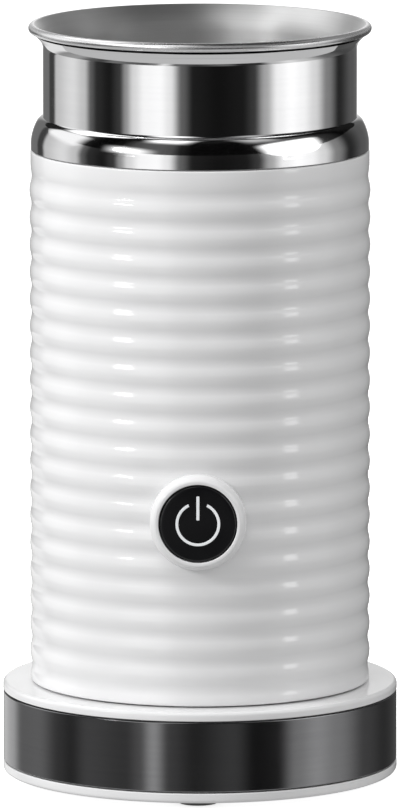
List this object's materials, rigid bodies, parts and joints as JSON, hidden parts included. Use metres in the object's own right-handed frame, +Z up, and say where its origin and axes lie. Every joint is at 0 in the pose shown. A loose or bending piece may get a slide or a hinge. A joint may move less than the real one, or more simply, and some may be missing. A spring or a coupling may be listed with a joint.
{
  "type": "milk frother",
  "caption": "Round milk frother: ribbed white jug with a steel neck and flared rim, push button on the front, standing on a round powered base.",
  "frame": {"origin": "centre of the plane that the feet stand on, under the jug's axis", "axes": "+Z up along the jug's axis, button facing -Y, cord outlet facing +Y"},
  "size_m": [0.094, 0.094, 0.1807],
  "materials": {
    "white_plastic": "glossy white ABS",
    "dark_steel": "polished dark-plated steel",
    "polished_steel": "mirror polished stainless steel",
    "satin_steel": "satin inside, polished rim",
    "black_gloss": "piano black",
    "symbol_white": "translucent white light guide",
    "rubber": "dark grey, matt",
    "black_plastic": "fine moulded texture",
    "brass": "bright",
    "zinc": "zinc plated",
    "magnet": "nickel plated ferrite",
    "aluminium": "bare",
    "circuit_board": "green solder mask",
    "lead_red": "silicone insulation",
    "lead_blue": "silicone insulation"
  },
  "bodies": {
    "base": {"base_underside": "white_plastic", "base_foot_1": "rubber", "base_foot_2": "rubber", "base_foot_3": "rubber", "base_band": "dark_steel", "base_top_plate": "white_plastic", "base_screw_1": "zinc", "base_screw_2": "zinc", "base_screw_3": "zinc", "cord_gland": "rubber", "base_connector": "black_plastic", "contact_pin": "brass", "contact_ring": "brass"},
    "jug": {"ribbed_sleeve": "white_plastic", "steel_collar": "polished_steel", "inner_vessel": "satin_steel", "bottom_cover": "black_plastic", "cover_screw_1": "zinc", "cover_screw_2": "zinc", "cover_screw_3": "zinc", "jug_connector": "black_plastic", "motor": "zinc", "motor_bracket": "zinc", "grommet_1": "rubber", "bracket_screw_1": "zinc", "grommet_2": "rubber", "bracket_screw_2": "zinc", "grommet_3": "rubber", "bracket_screw_3": "zinc", "motor_screw_1": "zinc", "motor_screw_2": "zinc", "heater_plate": "aluminium", "heater_tube": "zinc", "temperature_sensor": "brass", "thermal_cutout": "black_plastic", "button_bezel": "white_plastic", "switch_body": "black_plastic", "indicator_led": "symbol_white", "control_board": "circuit_board", "board_holder": "black_plastic", "board_screw_1": "zinc", "board_screw_2": "zinc", "power_relay": "black_plastic", "mains_lead_1": "lead_red", "mains_lead_2": "lead_blue", "motor_lead_1": "lead_red", "motor_lead_2": "lead_blue", "heater_lead_1": "lead_red", "heater_lead_2": "lead_blue", "whisk_spindle": "polished_steel"},
    "button": {"button_cap": "black_gloss", "power_symbol": "symbol_white"},
    "plunger": {"switch_plunger": "symbol_white"},
    "drive": {"motor_shaft": "polished_steel", "magnet_carrier": "black_plastic", "drive_magnet": "magnet"},
    "whisk": {"whisk_hub": "black_plastic", "whisk_magnet": "magnet", "whisk_coil": "polished_steel"}
  },
  "joints": [
    {"name": "jug_lift", "type": "slide", "parent": "base", "child": "jug", "axis": [0, 0, 1], "range_m": [0, 0.06]},
    {"name": "button_press", "type": "slide", "parent": "jug", "child": "button", "axis": [0, 1, 0], "range_m": [0, 0.0008], "stiffness_N_per_m": 400},
    {"name": "plunger_press", "type": "slide", "parent": "jug", "child": "plunger", "axis": [0, 1, 0], "range_m": [0, 0.0008]},
    {"name": "drive_spin", "type": "hinge", "parent": "jug", "child": "drive", "pos_m": [0, 0, 0.06], "axis": [0, 0, 1], "continuous": true},
    {"name": "whisk_spin", "type": "hinge", "parent": "jug", "child": "whisk", "pos_m": [0, 0, 0.085], "axis": [0, 0, 1], "continuous": true}
  ],
  "couplings": [
    {"joint": "plunger_press", "follows": "button_press", "ratio": 1},
    {"joint": "whisk_spin", "follows": "drive_spin", "ratio": 1}
  ]
}
